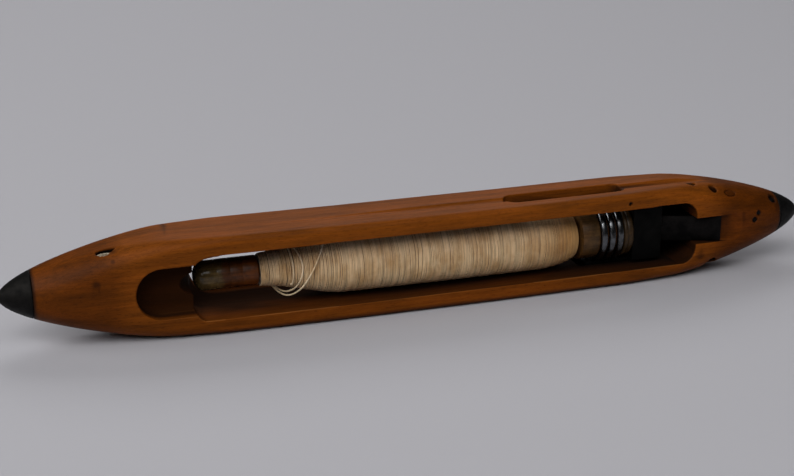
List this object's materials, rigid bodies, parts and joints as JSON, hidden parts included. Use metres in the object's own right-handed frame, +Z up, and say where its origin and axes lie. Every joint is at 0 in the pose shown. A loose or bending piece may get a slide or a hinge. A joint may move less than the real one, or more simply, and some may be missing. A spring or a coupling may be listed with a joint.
{
  "type": "weaving shuttle",
  "caption": "Pirn-changing loom shuttle of oiled hardwood with steel points, sprung jaws that grip a ringed pirn of weft thread, a porcelain eye, a feeler slot and a yarn groove.",
  "frame": {"origin": "middle of the underside, which is one side wall of the shuttle lying down", "axes": "+X along the shuttle towards the jaws, -Y out of the open face, +Z up towards the wall with the feeler slot"},
  "size_m": [0.41, 0.0352, 0.0482],
  "materials": {
    "oiled_wood": "oiled hardwood, worn smooth",
    "turned_wood": "turned, varnished and darkened at the ends",
    "black_steel": "blackened and worn",
    "jaw_iron": "dark and oily",
    "jaw_steel": "blued spring steel",
    "plate_steel": "dark, rubbed by the pirns",
    "ring_steel": "bright, polished by the jaws",
    "porcelain": "glazed",
    "cotton": "undyed cotton weft, wound in fine turns"
  },
  "bodies": {
    "body": {"shuttle_body": "oiled_wood", "side_plug": "oiled_wood", "tip_left": "black_steel", "tip_right": "black_steel", "tip_pin_left": "black_steel", "tip_pin_right": "black_steel", "thread_eye": "porcelain", "jaw_block": "jaw_iron", "incline_plate": "plate_steel", "jaw_bolt": "black_steel", "bolt_washer": "black_steel", "ramp_brad": "black_steel", "ramp_pin": "black_steel", "wall_pin": "black_steel"},
    "loaded_pirn": {"pirn": "turned_wood", "pirn_ring_1": "ring_steel", "pirn_ring_2": "ring_steel", "pirn_ring_3": "ring_steel", "thread_core": "cotton", "thread_winding": "cotton", "loose_thread": "cotton"},
    "upper_jaw": {"jaw_arm_upper": "jaw_steel"},
    "lower_jaw": {"jaw_arm_lower": "jaw_steel"}
  },
  "joints": [
    {"name": "pirn_out", "type": "slide", "parent": "body", "child": "loaded_pirn", "axis": [0, -1, 0], "range_m": [0, 0.05]},
    {"name": "upper_jaw_flex", "type": "hinge", "parent": "body", "child": "upper_jaw", "pos_m": [0.119, 0, 0.0401], "axis": [0, 1, 0], "range_deg": [0, 2.5], "stiffness_Nm_per_rad": 0.5, "springref_deg": -5.73},
    {"name": "lower_jaw_flex", "type": "hinge", "parent": "body", "child": "lower_jaw", "pos_m": [0.119, 0, 0.0083], "axis": [0, -1, 0], "range_deg": [0, 2.5], "stiffness_Nm_per_rad": 0.5, "springref_deg": -5.73}
  ]
}
